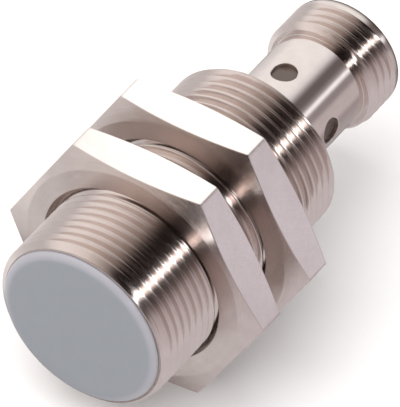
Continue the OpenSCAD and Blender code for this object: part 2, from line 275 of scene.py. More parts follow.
def corner_places(quads):
    """Where each corner of each quad lies on the piece's own map: u runs along the
    profile, row by row, and v runs around the axis."""
    rows, columns = quads.shape[:2]
    row, column = np.meshgrid(np.arange(rows), np.arange(columns), indexing="ij")
    u = np.stack([row, row + 1, row + 1, row], -1) / rows
    v = np.stack([column, column, column + 1, column + 1], -1) / columns
    return np.stack([u, v], -1)


def add_piece(name, points, quads, places, materials, kinds=None, sharp=43):
    """A mesh piece from points and quads, with its map, its materials and its finish.

    Equal points become one, each quad becomes two triangles, and a triangle that
    has lost a corner is dropped. If six times the volume, the sum of a . (b x c)
    over the triangles, comes out negative, every triangle is turned round. Edges
    that turn by more than sharp, in degrees, stay sharp."""
    key = np.round(points / SAME_POINT).astype(np.int64)
    _, first, number = np.unique(key, axis=0, return_index=True, return_inverse=True)
    points = points[first]
    quads = number.reshape(-1)[quads.reshape(-1, 4)]
    places = places.reshape(-1, 4, 2)
    kinds = np.zeros(len(quads), int) if kinds is None else kinds.reshape(-1)
    pick = np.array([[0, 1, 2], [0, 2, 3]])
    faces = quads[:, pick].reshape(-1, 3)
    places = places[:, pick].reshape(-1, 3, 2)
    kinds = np.repeat(kinds, 2)
    whole = ((faces[:, 0] != faces[:, 1]) & (faces[:, 1] != faces[:, 2])
             & (faces[:, 2] != faces[:, 0]))
    faces, places, kinds = faces[whole], places[whole], kinds[whole]
    a, b, c = (points[faces[:, i]] for i in range(3))
    if np.einsum("ij,ij->", a, np.cross(b, c)) < 0:
        faces, places = faces[:, ::-1], places[:, ::-1]
    used, faces = np.unique(faces, return_inverse=True)
    faces = faces.reshape(-1, 3)
    mesh = bpy.data.meshes.new(name)
    mesh.vertices.add(len(used))
    mesh.vertices.foreach_set("co", points[used].astype(np.float32).ravel())
    mesh.loops.add(faces.size)
    mesh.loops.foreach_set("vertex_index", faces.astype(np.int32).ravel())
    mesh.polygons.add(len(faces))
    mesh.polygons.foreach_set("loop_start", np.arange(0, faces.size, 3, dtype=np.int32))
    for material in materials:
        mesh.materials.append(material)
    mesh.polygons.foreach_set("material_index", kinds.astype(np.int32))
    mesh.update(calc_edges=True)
    layer = mesh.uv_layers.new(name="turning")
    layer.data.foreach_set("uv", places.astype(np.float32).ravel())
    mesh.shade_smooth()
    mesh.set_sharp_from_angle(angle=math.radians(sharp))
    mesh.validate()
    piece = bpy.data.objects.new(name, mesh)
    bpy.context.scene.collection.objects.link(piece)
    return piece


def around(columns, start=0.0):
    """Evenly spaced angles around the axis from start."""
    return start + TURN * np.arange(columns) / columns


# -------------------------------------------------------------- materials ----

MIX_FIRST, MIX_SECOND, MIX_COLOUR = 6, 7, 2     # a colour Mix node's sockets
CONTRAST = 2.0          # of the grain in every finish
CLOUD = 30              # size of a finish's slow colour change, in grains
DUST_COLOUR = (0.62, 0.60, 0.58, 1.0)
# Painted highlight on the cap's rolled edge: where it starts and where it is full.
HIGHLIGHT_START, HIGHLIGHT_FULL = 0.95 * MM, 0.2 * MM     # in from the edge of the cap's face


def add_node(tree, kind, inputs=None, **settings):
    """A node with its settings, whose inputs take values or other nodes' outputs."""
    made = tree.nodes.new(kind)
    for name, value in settings.items():
        setattr(made, name, value)
    for name, value in (inputs or {}).items():
        if isinstance(value, bpy.types.NodeSocket):
            tree.links.new(value, made.inputs[name])
        else:
            made.inputs[name].default_value = value
    return made


def new_group(name, inputs, outputs):
    """An empty shader node group with named sockets, and its two end nodes."""
    tree = bpy.data.node_groups.new(name, "ShaderNodeTree")
    for side, sockets in (("INPUT", inputs), ("OUTPUT", outputs)):
        for socket, kind in sockets:
            tree.interface.new_socket(socket, in_out=side, socket_type="NodeSocket" + kind)
    return tree, tree.nodes.new("NodeGroupInput"), tree.nodes.new("NodeGroupOutput")


def grain_group():
    """Noise of a given size with finer noise on it, spread by Contrast about the middle."""
    tree, given, out = new_group(
        "surface_grain", [("Vector", "Vector"), ("Size", "Float"), ("Contrast", "Float")],
        [("Value", "Float")])
    scale = add_node(tree, "ShaderNodeMath", {0: 1.0, 1: given.outputs["Size"]},
                     operation="DIVIDE")
    noise = add_node(tree, "ShaderNodeTexNoise", {
        "Vector": given.outputs["Vector"], "Scale": scale.outputs[0], "Detail": 4.0,
        "Roughness": 0.62, "Lacunarity": 2.2})
    centred = add_node(tree, "ShaderNodeMath", {0: noise.outputs[0], 1: 0.5},
                       operation="SUBTRACT")
    spread = add_node(tree, "ShaderNodeMath", {
        0: centred.outputs[0], 1: given.outputs["Contrast"], 2: 0.5}, operation="MULTIPLY_ADD")
    spread.use_clamp = True
    tree.links.new(spread.outputs[0], out.inputs["Value"])
    return tree


def marks_group():
    """Fine lathe marks: rings around the Y axis, as noise of the distance to the axis plus
    the place along it, both over Pitch."""
    tree, given, out = new_group(
        "lathe_marks", [("Vector", "Vector"), ("Pitch", "Float")], [("Height", "Float")])
    parts = add_node(tree, "ShaderNodeSeparateXYZ", {0: given.outputs["Vector"]})
    flat = add_node(tree, "ShaderNodeCombineXYZ", {0: parts.outputs[0], 2: parts.outputs[2]})
    radius = add_node(tree, "ShaderNodeVectorMath", {0: flat.outputs[0]}, operation="LENGTH")
    place = add_node(tree, "ShaderNodeMath", {0: radius.outputs["Value"], 1: parts.outputs[1]})
    count = add_node(tree, "ShaderNodeMath", {0: place.outputs[0], 1: given.outputs["Pitch"]},
                     operation="DIVIDE")
    line = add_node(tree, "ShaderNodeTexNoise", {
        "W": count.outputs[0], "Scale": 1.0, "Detail": 2.0}, noise_dimensions="1D")
    tree.links.new(line.outputs[0], out.inputs["Height"])
    return tree


def dust_group():
    """A thin uneven film on faces that look up."""
    tree, given, out = new_group(
        "settled_dust", [("Vector", "Vector"), ("Amount", "Float")], [("Mask", "Float")])
    normal = add_node(tree, "ShaderNodeNewGeometry")
    parts = add_node(tree, "ShaderNodeSeparateXYZ", {0: normal.outputs["Normal"]})
    up = add_node(tree, "ShaderNodeMapRange", {
        "Value": parts.outputs[2], "From Min": 0.2, "From Max": 1.0})
    noise = add_node(tree, "ShaderNodeTexNoise", {
        "Vector": given.outputs["Vector"], "Scale": 2600.0, "Detail": 6.0, "Roughness": 0.7})
    spots = add_node(tree, "ShaderNodeMapRange", {
        "Value": noise.outputs[0], "From Min": 0.5, "From Max": 0.8})
    both = add_node(tree, "ShaderNodeMath", {0: up.outputs[0], 1: spots.outputs[0]},
                    operation="MULTIPLY")
    mask = add_node(tree, "ShaderNodeMath", {0: both.outputs[0], 1: given.outputs["Amount"]},
                    operation="MULTIPLY")
    mask.use_clamp = True
    tree.links.new(mask.outputs[0], out.inputs["Mask"])
    return tree


def shared_group(name):
    """One of the shared node groups, built the first time it is asked for."""
    makers = {"surface_grain": grain_group, "lathe_marks": marks_group,
              "settled_dust": dust_group}
    return bpy.data.node_groups.get(name) or makers[name]()


def place_group(tree, name, vector, **values):
    """A shared node group in a material, with its own values."""
    return add_node(tree, "ShaderNodeGroup", {"Vector": vector, **values},
                    node_tree=shared_group(name)).outputs[0]


def blend_colours(tree, factor, first, second):
    """A colour between two, by a factor."""
    mix = add_node(tree, "ShaderNodeMix", {0: factor, MIX_FIRST: first, MIX_SECOND: second},
                   data_type="RGBA")
    return mix.outputs[MIX_COLOUR]


def spread_value(tree, value, low, high):
    """A value from 0 to 1 spread between low and high."""
    return add_node(tree, "ShaderNodeMapRange", {
        "Value": value, "To Min": low, "To Max": high}).outputs[0]


def finish(name, colours, rough, size, relief, metallic=0.0, dust=0.0, marks=0.0,
           mark_pitch=0.0, **constants):
    """A material whose colour, roughness and relief all follow the same grain.

    colours are the two ends of its colour, rough the two ends of its roughness,
    size the grain's size and relief its height, both in metres. dust is the share
    of film on what looks up. marks is the height of fine lathe marks, mark_pitch
    the distance between them. constants go on the shader's own sockets."""
    material = bpy.data.materials.get(name)
    if material:
        return material
    material = bpy.data.materials.new(name)
    material.use_nodes = True
    tree = material.node_tree
    shader = tree.nodes["Principled BSDF"]
    place = add_node(tree, "ShaderNodeTexCoord").outputs["Object"]
    grain = place_group(tree, "surface_grain", place, Size=size, Contrast=CONTRAST)
    cloud = place_group(tree, "surface_grain", place, Size=size * CLOUD, Contrast=CONTRAST)
    ends = [(*c, 1.0) for c in colours]
    colour = blend_colours(tree, cloud, *ends)
    colour = blend_colours(tree, spread_value(tree, grain, 0.0, 0.35), colour, ends[1])
    roughness = spread_value(tree, grain, *rough)
    if dust:
        film = place_group(tree, "settled_dust", place, Amount=dust)
        colour = blend_colours(tree, film, colour, DUST_COLOUR)
        roughness = add_node(tree, "ShaderNodeMath", {
            0: film, 1: 0.3, 2: roughness}, operation="MULTIPLY_ADD").outputs[0]
    tree.links.new(colour, shader.inputs["Base Color"])
    tree.links.new(roughness, shader.inputs["Roughness"])
    bump = add_node(tree, "ShaderNodeBump", {
        "Height": grain, "Distance": relief, "Strength": 1.0})
    if marks:
        rings = place_group(tree, "lathe_marks", place, Pitch=mark_pitch)
        bump = add_node(tree, "ShaderNodeBump", {
            "Height": rings, "Distance": marks, "Strength": 1.0, "Normal": bump.outputs[0]})
    tree.links.new(bump.outputs[0], shader.inputs["Normal"])
    shader.inputs["Metallic"].default_value = metallic
    for socket, value in constants.items():
        shader.inputs[socket.replace("_", " ")].default_value = value
    return material


def along_the_profile(material):
    """Stretches the material's gloss along u of the piece's own map, across its marks."""
    tree = material.node_tree
    tangent = add_node(tree, "ShaderNodeTangent", direction_type="UV_MAP", uv_map="turning")
    tree.links.new(tangent.outputs[0], tree.nodes["Principled BSDF"].inputs["Tangent"])
    return material


def nickel(kind):
    """Nickel plating: threaded, turned, on the neck or drawn."""
    f = bpy.context.scene.sensor_finishes
    colours = (tuple(f.nickel), tuple(f.nickel_shade))
    if kind == "threaded":
        return finish("nickel_threaded", colours, (0.09, 0.17), 0.06 * MM, 0.0005 * MM,
                      metallic=1.0, dust=0.15)
    if kind == "turned":
        return along_the_profile(finish(
            "nickel_turned", colours, (0.17, 0.22), 0.05 * MM, 0.0002 * MM, metallic=1.0,
            dust=0.1, marks=0.008 * MM, mark_pitch=0.03 * MM, Anisotropic=1.0))
    if kind == "neck":
        return finish("nickel_neck", colours, (0.08, 0.15), 0.05 * MM, 0.0004 * MM,
                      metallic=1.0, dust=0.1, marks=0.006 * MM, mark_pitch=0.3 * MM)
    return finish("nickel_drawn", colours, (0.20, 0.30), 0.08 * MM, 0.0008 * MM,
                  metallic=1.0, dust=0.15)


def grey_plastic(rim):
    """Moulded plastic of the sensing cap, with a fine eroded skin and a painted highlight: the
    colour turns pale towards the edge of its face, whose radius is rim."""
    colour = np.array(bpy.context.scene.sensor_finishes.cap)
    highlit = tuple(bpy.context.scene.sensor_finishes.cap_rim_highlight)
    material = finish("grey_moulded", (tuple(colour), tuple(colour * 0.94)), (0.34, 0.46),
                      0.07 * MM, 0.004 * MM, dust=0.2, IOR=1.49, Coat_Weight=0.5,
                      Coat_Roughness=0.14)
    tree = material.node_tree
    shader = tree.nodes["Principled BSDF"]
    plain = shader.inputs["Base Color"].links[0].from_socket
    place = add_node(tree, "ShaderNodeTexCoord").outputs["Object"]
    parts = add_node(tree, "ShaderNodeSeparateXYZ", {0: place})
    flat = add_node(tree, "ShaderNodeCombineXYZ", {0: parts.outputs[0], 2: parts.outputs[2]})
    radius = add_node(tree, "ShaderNodeVectorMath", {0: flat.outputs[0]}, operation="LENGTH")
    # Painted highlight: the colour turns paler towards the rolled edge of the cap's face.
    painted_highlight = add_node(tree, "ShaderNodeMapRange", {
        "Value": radius.outputs["Value"], "From Min": rim - HIGHLIGHT_START,
        "From Max": rim - HIGHLIGHT_FULL}, interpolation_type="SMOOTHSTEP")
    tree.links.new(blend_colours(tree, painted_highlight.outputs[0], plain, (*highlit, 1.0)),
                   shader.inputs["Base Color"])
    return material


def black_plastic():
    """Glass-filled plastic of the contact insert."""
    colour = np.array(bpy.context.scene.sensor_finishes.black)
    return finish("black_moulded", (tuple(colour), tuple(colour * 1.9)), (0.38, 0.52),
                  0.06 * MM, 0.003 * MM, IOR=1.52)


def window_plastic():
    """Clear brownish plastic of the light ring."""
    colour = np.array(bpy.context.scene.sensor_finishes.light_ring)
    return finish("clear_moulded", (tuple(colour), tuple(colour * 0.86)), (0.16, 0.28),
                  0.09 * MM, 0.002 * MM, IOR=1.49, Transmission_Weight=0.35)


def gold_plating():
    """Gold plating of the contact pins."""
    colour = np.array(bpy.context.scene.sensor_finishes.gold)
    return finish("gold_plate", (tuple(colour), tuple(colour * 0.9)), (0.18, 0.28),
                  0.05 * MM, 0.0005 * MM, metallic=1.0)


# ------------------------------------------------------------------ pieces ----

def settle(piece, body, slot, *nodes):
    """Hangs a piece on its body's empty and hides the imported nodes that it stands for. slot is
    not used.
    """
    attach(piece, body)
    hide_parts(*nodes)
    return piece


class SENSOR_OT_barrel(bpy.types.Operator):
    """Builds the barrel with its mounting thread"""
    bl_idname = "sensor.barrel"
    bl_label = "Barrel"

    def execute(self, context):
        sizes = context.scene.sensor_sizes
        angles = around(sizes.columns)
        radius, (y0, y1) = radius_of("barrel"), span_of("barrel")
        end = radius - sizes.barrel_chamfer
        bore = radius_of("potting_compound") + RESIN_GAP
        edge = BARREL_EDGE

        def under_the_chamfers(y, depth):
            """The thread's radius, held under a 45 degree cone that rises from each end."""
            cones = np.minimum(end + y - y0, end + y1 - y)
            return np.minimum(radius - depth, cones)

        thread = thread_rows(angles, y0, y1, sizes.barrel_pitch, under_the_chamfers)
        inside = plain_rows(
            angles, (bore + 2 * edge, y1), (bore + edge, y1), (bore, y1 - edge),
            (bore, y1 - 3 * edge), (bore, y0 + 3 * edge), (bore, y0 + edge),
            (bore + edge, y0), (bore + 2 * edge, y0))
        points, _, quads = skin(angles, [thread, inside])
        piece = add_piece("threaded_barrel", points, quads, corner_places(quads),
                          [nickel("threaded")])
        settle(piece, "sensor", "nickel_plated_brass", "barrel")
        return {"FINISHED"}


class SENSOR_OT_cap(bpy.types.Operator):
    """Builds the sensing cap with its rounded lip"""
    bl_idname = "sensor.cap"
    bl_label = "Sensing Cap"

    def execute(self, context):
        sizes = context.scene.sensor_sizes
        angles = around(sizes.columns)
        lip, (y0, y1) = radius_of("sensing_cap"), span_of("sensing_cap")
        skirt = radius_of("potting_compound")
        inner = radius_of("ferrite_core") + CORE_GAP
        lip_end, _ = span_of("barrel")
        face_back, _ = span_of("ferrite_core")
        roll, edge = sizes.cap_round, sizes.cap_edge
        turn = np.linspace(0, math.pi / 2, 13)
        arc = [(lip - edge + edge * math.sin(t), y0 + roll - roll * math.cos(t)) for t in turn]
        disc = [(lip * share, y0) for share in (0.0, 0.3, 0.6, 0.8)]
        rows = plain_rows(
            angles, *disc, (lip - edge - 0.1 * MM, y0), *arc,
            (lip, lip_end - 0.03 * MM), (lip - 0.03 * MM, lip_end), (skirt, lip_end),
            (skirt, y1), (inner, y1), (inner, face_back), (0.0, face_back))
        points, _, quads = skin(angles, [rows])
        quads = quads[:-1]
        piece = add_piece("cap_shell", points, quads, corner_places(quads),
                          [grey_plastic(lip)], sharp=40)
        settle(piece, "sensor", "grey_plastic", "sensing_cap")
        return {"FINISHED"}


def hexagon(apothem, fillet):
    """A hexagon with rounded corners as (angles, radii), its first corner on +X.

    As complex numbers, one sixth is the arc q + fillet * e^(it) for t from -30 to 30
    degrees, with q on the corner's line, and then points along the flat to the next
    arc. Turning it by e^(ik pi / 3) gives the others."""
    q = (apothem - fillet) / math.cos(math.pi / 6)
    t = np.linspace(-math.pi / 6, math.pi / 6, 7)
    arc = q + fillet * np.exp(1j * t)
    following = arc[0] * np.exp(1j * math.pi / 3)
    shares = np.concatenate([[0.012], np.linspace(0.05, 0.95, 17), [0.988]])
    flat = arc[-1] + (following - arc[-1]) * shares
    sixth = np.concatenate([arc, flat])
    outline = (np.exp(1j * math.pi / 3 * np.arange(6))[:, None] * sixth[None, :]).ravel()
    return np.unwrap(np.angle(outline)), np.abs(outline)


class SENSOR_OT_nuts(bpy.types.Operator):
    """Builds the two hexagon nuts with turned faces and an inner thread"""
    bl_idname = "sensor.nuts"
    bl_label = "Nuts"

    def execute(self, context):
        for node in ("front_nut", "rear_nut"):
            self.one_nut(context.scene.sensor_sizes, node)
        return {"FINISHED"}

    def one_nut(self, sizes, node):
        """A nut's inner thread, its turned faces and its six flats as one skin."""
        _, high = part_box(node)
        corner, apothem = high.x, high.z
        y0, y1 = span_of(node)
        angles, outline = hexagon(apothem, sizes.nut_fillet)
        face = apothem - sizes.nut_face
        slope = sizes.nut_drop / (corner - face)
        bore = radius_of("barrel") + THREAD_GAP
        mouth = bore + sizes.nut_countersink
        edge = NUT_EDGE

        def outside_the_countersinks(y, depth):
            """The bore's radius plus the depth, held outside a 45 degree cone at each end."""
            cones = np.maximum(mouth - (y - y0), mouth - (y1 - y))
            return np.maximum(bore + depth, cones)

        thread = thread_rows(angles, y0, y1, sizes.barrel_pitch, outside_the_countersinks)

        def half(end, way):
            """From the bore's mouth over the turned face and the corner cone to the flats."""
            def cone(radius):
                """The corner cone: it falls by slope for each step out from the face's rim."""
                return end + way * np.maximum(radius - face, 0) * slope

            return [(mouth + 0.3 * MM, end), ((mouth + face) / 2, end), (face - 0.12 * MM, end),
                    (face - RIM_ROWS, end), (face + RIM_ROWS, cone(face + RIM_ROWS)),
                    (outline - edge, cone(outline - edge)),
                    (outline - edge / 4, cone(outline - edge) + way * edge / 2),
                    (outline, cone(outline - edge) + way * 1.2 * edge),
                    (outline, cone(outline) + way * 0.25 * MM)]

        back, front = half(y1, -1), half(y0, 1)
        rows = plain_rows(angles, *back, (outline, (y0 + y1) / 2), *front[::-1])
        points, _, quads = skin(angles, [thread, rows])
        kinds = np.zeros(quads.shape[:2], int)
        first_flat = len(thread[0]) + len(back) - FLAT_ROWS
        kinds[first_flat:first_flat + 2 * FLAT_ROWS] = 1
        piece = add_piece(
            "hexagon_" + node, points, quads, corner_places(quads),
            [nickel("turned"), nickel("drawn")], kinds, sharp=13)
        settle(piece, node, "nickel_plated_brass", node)


def window_patch(points, grid, rows, columns, centre_y, centre_angle, wall_radius, rings):
    """Fills one square of the neck's grid around a round window.

    On a cylinder of radius R, a point is named by s = R sin(a - centre) and y. The
    square's rim keeps its points. Each ring is (share, radius, depth): a share of
    the way from the rim in to a circle of that radius, drawn depth under R."""
    way = 1 if rows[1] > rows[0] else -1
    there, back = np.arange(rows[0], rows[1], way), np.arange(rows[1], rows[0], -way)
    rim = np.concatenate([
        grid[rows[0], columns[0]:columns[1]], grid[there, columns[1]],
        grid[rows[1], columns[1]:columns[0]:-1], grid[back, columns[0]]])
    where = points[rim]
    angle = np.arctan2(where[:, 2], where[:, 0])
    s = wall_radius * np.sin(angle - centre_angle)
    t = where[:, 1] - centre_y
    phi = np.arctan2(t, s)
    made, start = [rim], len(points)
    for share, radius, depth in rings:
        x = (1 - share) * s + share * radius * np.cos(phi)
        y = (1 - share) * t + share * radius * np.sin(phi)
        r = wall_radius - depth
        a = centre_angle + np.arcsin(x / wall_radius)
        points = np.vstack([points, np.stack([r * np.cos(a), centre_y + y, r * np.sin(a)], -1)])
        made.append(start + np.arange(len(rim)))
        start += len(rim)
    return points, made


class SENSOR_OT_sleeve(bpy.types.Operator):
    """Builds the connector sleeve: collar, neck with windows, thread and socket"""
    bl_idname = "sensor.sleeve"
    bl_label = "Connector Sleeve"

    def execute(self, context):
        sizes = context.scene.sensor_sizes
        angles = around(sizes.columns, WINDOW_TURN)
        collar, (y0, mouth) = radius_of("connector_sleeve"), span_of("connector_sleeve")
        plug, neck, socket, tongue = PLUG_RADIUS, NECK_RADIUS, SOCKET_RADIUS, TONGUE_RADIUS
        collar_end, neck_end, centre, edge = COLLAR_END, NECK_END, WINDOW_PLACE, SLEEVE_EDGE
        lip = span_of("light_ring")[0]
        seal0, seal1 = (y0 + side for side in SEAL_SPAN)
        end = plug - sizes.plug_chamfer
        hole = sizes.window / 2

        def under_the_band(y, depth):
            """The thread runs out half a pitch before the band, whose radius falls from the
            plug's by a quarter of an ellipse to the mouth."""
            left = mouth - y
            run_out = np.clip(2 * (left - sizes.plug_band) / sizes.plug_pitch, 0, 1)
            u = np.clip(1 - left / sizes.plug_band, 0, 1)
            band = plug - (plug - end) * (1 - np.sqrt(1 - u * u))
            return np.minimum(np.minimum(plug - depth * run_out, band), end + y - neck_end)

        collar_rows = [
            (tongue, y0), (collar - edge, y0), (collar, y0 + edge), (collar, seal0),
            (collar - SEAL_GROOVE, seal0), (collar - SEAL_GROOVE, seal1), (collar, seal1),
            (collar, collar_end - 2 * edge), (collar - 2 * edge, collar_end),
            (neck + 4 * edge, collar_end), (neck + edge, collar_end)]
        before = [(neck, collar_end + edge), (neck, collar_end + 4 * edge),
                  (neck, centre - 2.9 * MM)]
        beside = [(neck, centre + t) for t in WINDOW_SQUARE]
        after = [(neck, centre + 3.6 * MM), (neck, neck_end - 4 * edge), (neck, neck_end - edge)]
        outside = plain_rows(angles, *collar_rows, *before, *beside, *after,
                             (neck + edge, neck_end), (neck + 3 * edge, neck_end))
        thread = thread_rows(angles, neck_end, mouth, sizes.plug_pitch, under_the_band)
        mouth_rows = [(socket + 5 * edge, mouth), (socket + 3 * edge, mouth),
                      (socket, mouth - 3 * edge), (socket, mouth - 6 * edge),
                      (socket, centre + 3.2 * MM)]
        inside = plain_rows(angles, *mouth_rows, *[(socket, centre - t) for t in WINDOW_SQUARE],
                            (socket, lip + edge), (socket, lip), (tongue, lip))
        points, grid, quads = skin(angles, [outside, thread, inside])
        places = corner_places(quads)
        keep = np.ones(quads.shape[:2], bool)
        kinds = np.zeros(quads.shape[:2], int)
        neck_row = len(collar_rows)
        outer_row = neck_row + len(before)
        inner_row = len(outside[0]) + len(thread[0]) + len(mouth_rows)
        kinds[neck_row:outer_row + len(beside) + len(after)] = 1
        side = len(WINDOW_SQUARE) - 1
        step = sizes.columns // WINDOWS
        half_width = step // 4
        rolled = np.roll(grid[:, :-1], half_width, axis=1)
        rim = hole + WINDOW_EDGE
        rings_out = ((0.35, rim, 0), (0.7, rim, 0), (1, rim, 0), (1, hole, WINDOW_EDGE))
        rings_in = ((1, hole, 0), (0.7, hole, 0), (0.35, hole, 0))
        added, added_places = [], []
        for k in range(WINDOWS):
            own = (k * step, k * step + 2 * half_width)
            turn = WINDOW_TURN + k * TURN / WINDOWS
            points, outer = window_patch(
                points, rolled, (outer_row, outer_row + side), own, centre, turn, neck, rings_out)
            points, inner = window_patch(
                points, rolled, (inner_row + side, inner_row), own, centre, turn, socket, rings_in)
            rings = np.array(outer + inner[1:] + [inner[0]])
            closed = np.hstack([rings, rings[:, :1]])
            patch = np.stack([closed[:-1, :-1], closed[1:, :-1], closed[1:, 1:],
                              closed[:-1, 1:]], -1)
            added.append(patch.reshape(-1, 4))
            added_places.append(corner_places(patch).reshape(-1, 4, 2))
            cut = (np.arange(*own) - half_width) % sizes.columns
            for row in (outer_row, inner_row):
                keep[row:row + side, cut] = False
        added_kinds = [np.ones(len(faces), int) for faces in added]
        quads = np.vstack([quads[keep].reshape(-1, 4)] + added)
        places = np.vstack([places[keep].reshape(-1, 4, 2)] + added_places)
        kinds = np.concatenate([kinds[keep]] + added_kinds)
        piece = add_piece("plug_sleeve", points, quads, places,
                          [nickel("threaded"), nickel("neck")], kinds)
        settle(piece, "sensor", "nickel_plated_brass", "connector_sleeve")
        return {"FINISHED"}


class SENSOR_OT_pins(bpy.types.Operator):
    """Builds the four contact pins with rounded tips"""
    bl_idname = "sensor.pins"
    bl_label = "Contact Pins"

    def execute(self, context):
        angles = around(40)
        head = span_of("light_ring")[0]
        for number in range(1, 5):
            node = f"contact_pin_{number}"
            low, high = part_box(node)
            radius = (high.x - low.x) / 2
            tip = radius * PIN_DOME
            turn = np.linspace(0, math.pi / 2, 9)[:-1]
            dome = [(radius * math.cos(t), high.y - tip + tip * math.sin(t)) for t in turn]
            rows = plain_rows(
                angles, (0.0, low.y), (PIN_TAIL - PIN_TAIL_EDGE, low.y),
                (PIN_TAIL, low.y + PIN_TAIL_EDGE), (PIN_TAIL, head), (radius, head), *dome,
                (0.0, high.y))
            points, _, quads = skin(angles, [rows])
            quads = quads[:-1]
            points = points + np.array([(low.x + high.x) / 2, 0, (low.z + high.z) / 2])
            piece = add_piece(f"plug_pin_{number}", points, quads, corner_places(quads),
                              [gold_plating()], sharp=35)
            settle(piece, "sensor", "gold_plating", node)
        return {"FINISHED"}


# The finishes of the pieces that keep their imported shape: name, two ends of the colour,
# two ends of the roughness, grain and relief in mm, other settings, and the nodes.
INNER_FINISHES = (
    ("enamelled_copper", ((0.62, 0.25, 0.10), (0.48, 0.17, 0.06)), (0.2, 0.35), 0.05, 0.002,
     {"metallic": 1.0}, ("coil_winding", "coil_leads")),
    ("ferrite", ((0.035, 0.034, 0.036), (0.06, 0.058, 0.058)), (0.55, 0.8), 0.08, 0.006,
     {}, ("ferrite_core",)),
    ("bobbin_nylon", ((0.70, 0.66, 0.56), (0.64, 0.60, 0.50)), (0.4, 0.55), 0.08, 0.003,
     {}, ("coil_bobbin",)),
    ("board_laminate", ((0.015, 0.10, 0.045), (0.02, 0.14, 0.06)), (0.3, 0.45), 0.15, 0.003,
     {}, ("circuit_board",)),
    ("chip_moulding", ((0.02, 0.02, 0.022), (0.045, 0.045, 0.048)), (0.5, 0.7), 0.04, 0.003,
     {}, ("sensor_chip", "output_transistor", "protection_diode", "chip_resistors")),
    ("ceramic_body", ((0.55, 0.40, 0.26), (0.45, 0.33, 0.22)), (0.35, 0.5), 0.03, 0.001,
     {}, ("chip_capacitors",)),
    ("led_body", ((0.75, 0.60, 0.20), (0.80, 0.70, 0.35)), (0.15, 0.3), 0.1, 0.001,
     {"Transmission_Weight": 0.4}, ("status_led_left", "status_led_right")),
    ("potting_resin", ((0.03, 0.034, 0.04), (0.05, 0.054, 0.06)), (0.25, 0.45), 0.4, 0.004,
     {}, ("potting_compound",)),
    ("seal_rubber", ((0.015, 0.015, 0.015), (0.03, 0.03, 0.03)), (0.55, 0.75), 0.05, 0.003,
     {}, ("sleeve_seal_ring", "insert_seal_ring")),
    ("tinned_copper", ((0.62, 0.62, 0.63), (0.50, 0.50, 0.52)), (0.25, 0.45), 0.06, 0.003,
     {"metallic": 1.0}, ("connector_leads",)),
)


class SENSOR_OT_inner_parts(bpy.types.Operator):
    """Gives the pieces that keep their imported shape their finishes"""
    bl_idname = "sensor.inner_parts"
    bl_label = "Inner Parts"

    def execute(self, context):
        for name, colours, rough, size, relief, settings, nodes in INNER_FINISHES:
            material = finish(name, colours, rough, size * MM, relief * MM, **settings)
            self.assign(material, *nodes)
        self.assign(black_plastic(), "core_holder", "contact_insert")
        self.assign(window_plastic(), "light_ring")
        return {"FINISHED"}

    def assign(self, material, *nodes):
        """Puts a material in the only slot of each node's mesh."""
        for node in nodes:
            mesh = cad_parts[node].data
            mesh.materials.clear()
            mesh.materials.append(material)


# ------------------------------------------------------------------- stage ----

# The way from the sensor to the camera.
VIEW = (0.3894, -0.6015, 0.6975)

# The room is a fan of tall panels around the line VIEW. A turned face mirrors towards
# the camera only what stands in the panel of its own angle around the sensor's axis,
# whatever its slope, so each row gives that angle from +X towards +Z in degrees and
# the colour seen there: FRONT_FAN before the sensor, for thread flanks and nut faces,
# SIDE_FAN beside it, for the neck and the crests, and BACK_FAN behind it, for the
# flanks that look back.
FRONT_FAN = (
    (-180, (0.92, 0.90, 0.90)), (-168, (0.50, 0.47, 0.47)), (-152, (0.08, 0.06, 0.055)),
    (-100, (0.035, 0.025, 0.02)), (-74, (0.22, 0.18, 0.17)), (-50, (0.62, 0.59, 0.60)),
    (-24, (0.68, 0.65, 0.67)), (6, (0.70, 0.66, 0.68)), (20, (0.62, 0.56, 0.58)),
    (30, (0.48, 0.42, 0.43)), (36, (0.17, 0.14, 0.14)), (42, (0.04, 0.03, 0.03)),
    (45.2, (0.05, 0.04, 0.04)), (46.8, (3.8, 3.7, 3.7)), (49.2, (3.8, 3.7, 3.7)),
    (50.6, (0.04, 0.03, 0.03)), (55, (0.015, 0.01, 0.01)), (64, (0.008, 0.006, 0.005)),
    (68, (0.08, 0.06, 0.055)), (73, (0.34, 0.29, 0.27)), (79, (0.56, 0.50, 0.47)),
    (88, (0.86, 0.79, 0.76)), (100, (1.02, 0.97, 0.95)), (110, (1.0, 0.95, 0.93)),
    (120, (0.66, 0.63, 0.64)), (136, (0.74, 0.72, 0.73)), (155, (1.0, 0.99, 1.0)),
)
SIDE_FAN = (
    (-180, (0.66, 0.63, 0.63)), (-150, (0.20, 0.17, 0.16)), (-75, (0.20, 0.17, 0.16)),
    (-35, (0.52, 0.48, 0.50)), (0, (0.46, 0.42, 0.43)), (9, (0.42, 0.37, 0.38)),
    (16, (0.64, 0.59, 0.61)), (29, (0.62, 0.57, 0.58)), (34, (0.36, 0.32, 0.33)),
    (40, (0.34, 0.31, 0.32)), (43.4, (1.35, 1.35, 1.4)), (45.0, (1.35, 1.35, 1.4)),
    (48, (0.40, 0.36, 0.37)), (53, (0.18, 0.155, 0.155)), (60, (0.16, 0.14, 0.14)),
    (63, (0.36, 0.33, 0.34)), (68, (0.90, 0.90, 0.92)), (74, (1.12, 1.12, 1.12)),
    (96, (1.15, 1.14, 1.13)), (113, (1.12, 1.11, 1.11)), (122, (0.94, 0.92, 0.92)),
    (132, (0.78, 0.76, 0.76)), (160, (0.84, 0.82, 0.82)),
)
BACK_FAN = (
    (-180, (0.82, 0.81, 0.86)), (-30, (0.66, 0.62, 0.62)), (10, (0.42, 0.38, 0.36)),
    (38, (0.24, 0.20, 0.18)), (42, (0.06, 0.05, 0.045)), (45, (0.9, 0.86, 0.84)),
    (49, (0.06, 0.05, 0.045)), (64, (0.05, 0.042, 0.038)), (76, (0.20, 0.17, 0.15)),
    (100, (0.42, 0.38, 0.35)), (135, (0.66, 0.62, 0.60)),
)
DARK_CORNER = (0.085, 0.06, 0.045, 1.0)

